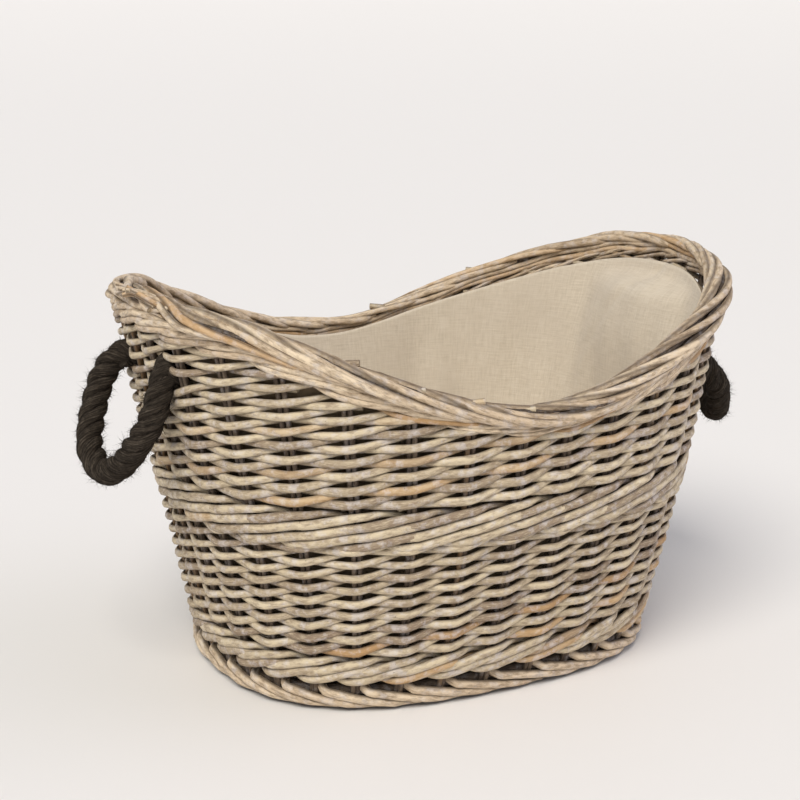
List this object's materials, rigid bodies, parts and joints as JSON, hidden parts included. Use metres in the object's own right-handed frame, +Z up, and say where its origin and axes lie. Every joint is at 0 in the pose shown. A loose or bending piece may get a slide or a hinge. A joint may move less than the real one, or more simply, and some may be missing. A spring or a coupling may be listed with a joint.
{
  "type": "wicker log basket",
  "caption": "Oval woven willow log basket with a saddle-shaped rim that rises at both ends, a thick rope loop handle at each end and a plain cloth liner.",
  "frame": {"origin": "on the ground, under the middle of the basket's bounding box", "axes": "+X along the basket's length towards one rope handle, +Y across it, +Z up"},
  "size_m": [0.6253, 0.4336, 0.3417],
  "materials": {
    "washed_willow": "unvarnished willow rods with a grey wash, matt",
    "willow_stake": "darker unvarnished willow rods, matt",
    "natural_linen": "plain woven natural linen, slubby and matt",
    "brown_rope": "three-strand rope, very dark brown, hairy and matt",
    "binding_twine": "natural twine, matt"
  },
  "bodies": {
    "basket": {"base_sticks": "willow_stake", "base_weave": "washed_willow", "foot_border": "washed_willow", "left_end_siding_1": "washed_willow", "left_end_siding_2": "washed_willow", "left_end_siding_3": "washed_willow", "liner_floor": "natural_linen", "liner_wall": "natural_linen", "lower_siding_1": "washed_willow", "lower_siding_2": "washed_willow", "lower_siding_3": "washed_willow", "lower_wale": "washed_willow", "middle_wale": "washed_willow", "right_end_siding_1": "washed_willow", "right_end_siding_2": "washed_willow", "right_end_siding_3": "washed_willow", "rim_border": "washed_willow", "rope_binding_left": "binding_twine", "rope_binding_right": "binding_twine", "rope_inside_left": "brown_rope", "rope_inside_right": "brown_rope", "stake_01": "willow_stake", "stake_02": "willow_stake", "stake_03": "willow_stake", "stake_04": "willow_stake", "stake_05": "willow_stake", "stake_06": "willow_stake", "stake_07": "willow_stake", "stake_08": "willow_stake", "stake_09": "willow_stake", "stake_10": "willow_stake", "stake_11": "willow_stake", "stake_12": "willow_stake", "stake_13": "willow_stake", "stake_14": "willow_stake", "stake_15": "willow_stake", "stake_16": "willow_stake", "stake_17": "willow_stake", "stake_18": "willow_stake", "stake_19": "willow_stake", "stake_20": "willow_stake", "stake_21": "willow_stake", "stake_22": "willow_stake", "stake_23": "willow_stake", "stake_24": "willow_stake", "stake_25": "willow_stake", "stake_26": "willow_stake", "stake_27": "willow_stake", "stake_28": "willow_stake", "stake_29": "willow_stake", "stake_30": "willow_stake", "stake_31": "willow_stake", "stake_32": "willow_stake", "top_wale": "washed_willow", "upper_siding": "washed_willow"},
    "left_handle": {"rope_handle_left": "brown_rope"},
    "right_handle": {"rope_handle_right": "brown_rope"}
  },
  "joints": [
    {"name": "left_handle_swing", "type": "hinge", "parent": "basket", "child": "left_handle", "pos_m": [-0.2648, 0, 0.27], "axis": [0, 1, 0], "range_deg": [0, 115]},
    {"name": "right_handle_swing", "type": "hinge", "parent": "basket", "child": "right_handle", "pos_m": [0.2648, 0, 0.27], "axis": [0, -1, 0], "range_deg": [0, 96]}
  ]
}
